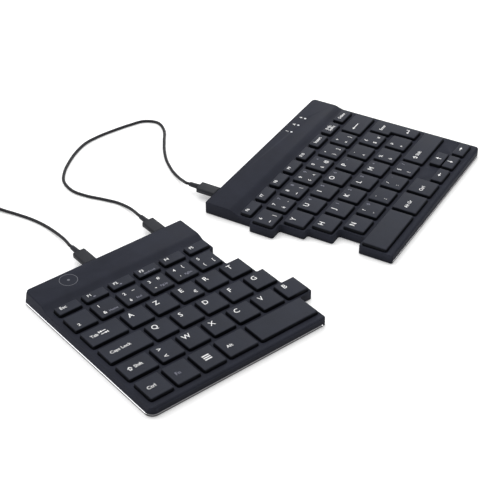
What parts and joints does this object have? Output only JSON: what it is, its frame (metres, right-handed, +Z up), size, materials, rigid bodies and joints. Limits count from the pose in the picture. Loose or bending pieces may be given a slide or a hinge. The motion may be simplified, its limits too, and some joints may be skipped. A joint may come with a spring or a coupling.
{
  "type": "split keyboard",
  "caption": "Slim wired split keyboard: two splayed halves with stepped inner edges and low flat keys that press down, joined by a short cord, with a host cord and plug.",
  "frame": {"origin": "on the table, under the middle of the box round both halves, cords and plugs left out", "axes": "+X to the typist's right, +Y away from the typist, +Z up"},
  "size_m": [0.3619, 0.2841, 0.012],
  "materials": {
    "key_plastic": "fine matte, dark grey",
    "case_plastic": "fine matte, dark grey",
    "base_metal": "polished edge, satin underside",
    "frame_plastic": "plain black",
    "dome_rubber": "translucent silicone",
    "circuit_film": "printed film",
    "board": "solder mask",
    "port_metal": "plated",
    "screw_steel": "plated",
    "foot_rubber": "matte",
    "lens_plastic": "smoked, satin",
    "light_guide": "clear to milky",
    "cord_jacket": "satin",
    "plug_plastic": "fine matte",
    "tie_strap": "woven hook and loop"
  },
  "bodies": {
    "keyboard_base": {"left_base_plate": "base_metal", "left_membrane": "circuit_film", "left_rubber_domes": "dome_rubber", "left_key_frame": "frame_plastic", "left_control_board": "board", "left_top_case": "case_plastic", "right_base_plate": "base_metal", "right_membrane": "circuit_film", "right_rubber_domes": "dome_rubber", "right_key_frame": "frame_plastic", "right_control_board": "board", "right_top_case": "case_plastic", "usb_sockets": "port_metal", "case_screws": "screw_steel", "rubber_feet": "foot_rubber", "status_lens": "lens_plastic", "lock_light_guides": "light_guide", "link_cord": "cord_jacket", "link_plug_left": "plug_plastic", "link_plug_right": "plug_plastic", "host_plug": "plug_plastic", "plug_tips": "port_metal", "host_cord": "cord_jacket", "host_cord_coil": "cord_jacket", "cord_tie": "tie_strap", "computer_plug": "plug_plastic", "computer_plug_shell": "port_metal"},
    "escape_key": {"escape_key": "key_plastic"},
    "left_function_keys": {"left_function_keys": "key_plastic"},
    "left_number_keys": {"left_number_keys": "key_plastic"},
    "tab_key": {"tab_key": "key_plastic"},
    "left_upper_keys": {"left_upper_keys": "key_plastic"},
    "caps_lock_key": {"caps_lock_key": "key_plastic"},
    "left_home_keys": {"left_home_keys": "key_plastic"},
    "left_shift_key": {"left_shift_key": "key_plastic"},
    "left_lower_keys": {"left_lower_keys": "key_plastic"},
    "left_ctrl_key": {"left_ctrl_key": "key_plastic"},
    "fn_key": {"fn_key": "key_plastic"},
    "menu_key": {"menu_key": "key_plastic"},
    "left_alt_key": {"left_alt_key": "key_plastic"},
    "left_space_key": {"left_space_key": "key_plastic"},
    "right_function_keys": {"right_function_keys": "key_plastic"},
    "delete_key": {"delete_key": "key_plastic"},
    "right_number_keys": {"right_number_keys": "key_plastic"},
    "backspace_key": {"backspace_key": "key_plastic"},
    "right_upper_keys": {"right_upper_keys": "key_plastic"},
    "enter_key": {"enter_key": "key_plastic"},
    "right_home_keys": {"right_home_keys": "key_plastic"},
    "right_lower_keys": {"right_lower_keys": "key_plastic"},
    "right_shift_key": {"right_shift_key": "key_plastic"},
    "right_space_key": {"right_space_key": "key_plastic"},
    "alt_gr_key": {"alt_gr_key": "key_plastic"},
    "right_ctrl_key": {"right_ctrl_key": "key_plastic"},
    "left_arrow_key": {"left_arrow_key": "key_plastic"},
    "up_arrow_key": {"up_arrow_key": "key_plastic"},
    "down_arrow_key": {"down_arrow_key": "key_plastic"},
    "right_arrow_key": {"right_arrow_key": "key_plastic"}
  },
  "joints": [
    {"name": "escape_key_press", "type": "slide", "parent": "keyboard_base", "child": "escape_key", "axis": [0, 0, -1], "range_m": [0, 0.0018], "stiffness_N_per_m": 300, "springref_m": -0.0005, "deforming": ["left_rubber_domes"]},
    {"name": "left_function_keys_press", "type": "slide", "parent": "keyboard_base", "child": "left_function_keys", "axis": [0, 0, -1], "range_m": [0, 0.0018], "stiffness_N_per_m": 1500, "springref_m": -0.0005, "deforming": ["left_rubber_domes"]},
    {"name": "left_number_keys_press", "type": "slide", "parent": "keyboard_base", "child": "left_number_keys", "axis": [0, 0, -1], "range_m": [0, 0.0018], "stiffness_N_per_m": 1800, "springref_m": -0.0005, "deforming": ["left_rubber_domes"]},
    {"name": "tab_key_press", "type": "slide", "parent": "keyboard_base", "child": "tab_key", "axis": [0, 0, -1], "range_m": [0, 0.0018], "stiffness_N_per_m": 300, "springref_m": -0.0005, "deforming": ["left_rubber_domes"]},
    {"name": "left_upper_keys_press", "type": "slide", "parent": "keyboard_base", "child": "left_upper_keys", "axis": [0, 0, -1], "range_m": [0, 0.0018], "stiffness_N_per_m": 1500, "springref_m": -0.0005, "deforming": ["left_rubber_domes"]},
    {"name": "caps_lock_key_press", "type": "slide", "parent": "keyboard_base", "child": "caps_lock_key", "axis": [0, 0, -1], "range_m": [0, 0.0018], "stiffness_N_per_m": 300, "springref_m": -0.0005, "deforming": ["left_rubber_domes"]},
    {"name": "left_home_keys_press", "type": "slide", "parent": "keyboard_base", "child": "left_home_keys", "axis": [0, 0, -1], "range_m": [0, 0.0018], "stiffness_N_per_m": 1500, "springref_m": -0.0005, "deforming": ["left_rubber_domes"]},
    {"name": "left_shift_key_press", "type": "slide", "parent": "keyboard_base", "child": "left_shift_key", "axis": [0, 0, -1], "range_m": [0, 0.0018], "stiffness_N_per_m": 300, "springref_m": -0.0005, "deforming": ["left_rubber_domes"]},
    {"name": "left_lower_keys_press", "type": "slide", "parent": "keyboard_base", "child": "left_lower_keys", "axis": [0, 0, -1], "range_m": [0, 0.0018], "stiffness_N_per_m": 1800, "springref_m": -0.0005, "deforming": ["left_rubber_domes"]},
    {"name": "left_ctrl_key_press", "type": "slide", "parent": "keyboard_base", "child": "left_ctrl_key", "axis": [0, 0, -1], "range_m": [0, 0.0018], "stiffness_N_per_m": 300, "springref_m": -0.0005, "deforming": ["left_rubber_domes"]},
    {"name": "fn_key_press", "type": "slide", "parent": "keyboard_base", "child": "fn_key", "axis": [0, 0, -1], "range_m": [0, 0.0018], "stiffness_N_per_m": 300, "springref_m": -0.0005, "deforming": ["left_rubber_domes"]},
    {"name": "menu_key_press", "type": "slide", "parent": "keyboard_base", "child": "menu_key", "axis": [0, 0, -1], "range_m": [0, 0.0018], "stiffness_N_per_m": 300, "springref_m": -0.0005, "deforming": ["left_rubber_domes"]},
    {"name": "left_alt_key_press", "type": "slide", "parent": "keyboard_base", "child": "left_alt_key", "axis": [0, 0, -1], "range_m": [0, 0.0018], "stiffness_N_per_m": 300, "springref_m": -0.0005, "deforming": ["left_rubber_domes"]},
    {"name": "left_space_key_press", "type": "slide", "parent": "keyboard_base", "child": "left_space_key", "axis": [0, 0, -1], "range_m": [0, 0.0018], "stiffness_N_per_m": 300, "springref_m": -0.0005, "deforming": ["left_rubber_domes"]},
    {"name": "right_function_keys_press", "type": "slide", "parent": "keyboard_base", "child": "right_function_keys", "axis": [0, 0, -1], "range_m": [0, 0.0018], "stiffness_N_per_m": 2100, "springref_m": -0.0005, "deforming": ["right_rubber_domes"]},
    {"name": "delete_key_press", "type": "slide", "parent": "keyboard_base", "child": "delete_key", "axis": [0, 0, -1], "range_m": [0, 0.0018], "stiffness_N_per_m": 300, "springref_m": -0.0005, "deforming": ["right_rubber_domes"]},
    {"name": "right_number_keys_press", "type": "slide", "parent": "keyboard_base", "child": "right_number_keys", "axis": [0, 0, -1], "range_m": [0, 0.0018], "stiffness_N_per_m": 2100, "springref_m": -0.0005, "deforming": ["right_rubber_domes"]},
    {"name": "backspace_key_press", "type": "slide", "parent": "keyboard_base", "child": "backspace_key", "axis": [0, 0, -1], "range_m": [0, 0.0018], "stiffness_N_per_m": 300, "springref_m": -0.0005, "deforming": ["right_rubber_domes"]},
    {"name": "right_upper_keys_press", "type": "slide", "parent": "keyboard_base", "child": "right_upper_keys", "axis": [0, 0, -1], "range_m": [0, 0.0018], "stiffness_N_per_m": 2100, "springref_m": -0.0005, "deforming": ["right_rubber_domes"]},
    {"name": "enter_key_press", "type": "slide", "parent": "keyboard_base", "child": "enter_key", "axis": [0, 0, -1], "range_m": [0, 0.0018], "stiffness_N_per_m": 300, "springref_m": -0.0005, "deforming": ["right_rubber_domes"]},
    {"name": "right_home_keys_press", "type": "slide", "parent": "keyboard_base", "child": "right_home_keys", "axis": [0, 0, -1], "range_m": [0, 0.0018], "stiffness_N_per_m": 2100, "springref_m": -0.0005, "deforming": ["right_rubber_domes"]},
    {"name": "right_lower_keys_press", "type": "slide", "parent": "keyboard_base", "child": "right_lower_keys", "axis": [0, 0, -1], "range_m": [0, 0.0018], "stiffness_N_per_m": 1500, "springref_m": -0.0005, "deforming": ["right_rubber_domes"]},
    {"name": "right_shift_key_press", "type": "slide", "parent": "keyboard_base", "child": "right_shift_key", "axis": [0, 0, -1], "range_m": [0, 0.0018], "stiffness_N_per_m": 300, "springref_m": -0.0005, "deforming": ["right_rubber_domes"]},
    {"name": "right_space_key_press", "type": "slide", "parent": "keyboard_base", "child": "right_space_key", "axis": [0, 0, -1], "range_m": [0, 0.0018], "stiffness_N_per_m": 300, "springref_m": -0.0005, "deforming": ["right_rubber_domes"]},
    {"name": "alt_gr_key_press", "type": "slide", "parent": "keyboard_base", "child": "alt_gr_key", "axis": [0, 0, -1], "range_m": [0, 0.0018], "stiffness_N_per_m": 300, "springref_m": -0.0005, "deforming": ["right_rubber_domes"]},
    {"name": "right_ctrl_key_press", "type": "slide", "parent": "keyboard_base", "child": "right_ctrl_key", "axis": [0, 0, -1], "range_m": [0, 0.0018], "stiffness_N_per_m": 300, "springref_m": -0.0005, "deforming": ["right_rubber_domes"]},
    {"name": "left_arrow_key_press", "type": "slide", "parent": "keyboard_base", "child": "left_arrow_key", "axis": [0, 0, -1], "range_m": [0, 0.0018], "stiffness_N_per_m": 300, "springref_m": -0.0005, "deforming": ["right_rubber_domes"]},
    {"name": "up_arrow_key_press", "type": "slide", "parent": "keyboard_base", "child": "up_arrow_key", "axis": [0, 0, -1], "range_m": [0, 0.0018], "stiffness_N_per_m": 300, "springref_m": -0.0005, "deforming": ["right_rubber_domes"]},
    {"name": "down_arrow_key_press", "type": "slide", "parent": "keyboard_base", "child": "down_arrow_key", "axis": [0, 0, -1], "range_m": [0, 0.0018], "stiffness_N_per_m": 300, "springref_m": -0.0005, "deforming": ["right_rubber_domes"]},
    {"name": "right_arrow_key_press", "type": "slide", "parent": "keyboard_base", "child": "right_arrow_key", "axis": [0, 0, -1], "range_m": [0, 0.0018], "stiffness_N_per_m": 300, "springref_m": -0.0005, "deforming": ["right_rubber_domes"]}
  ]
}
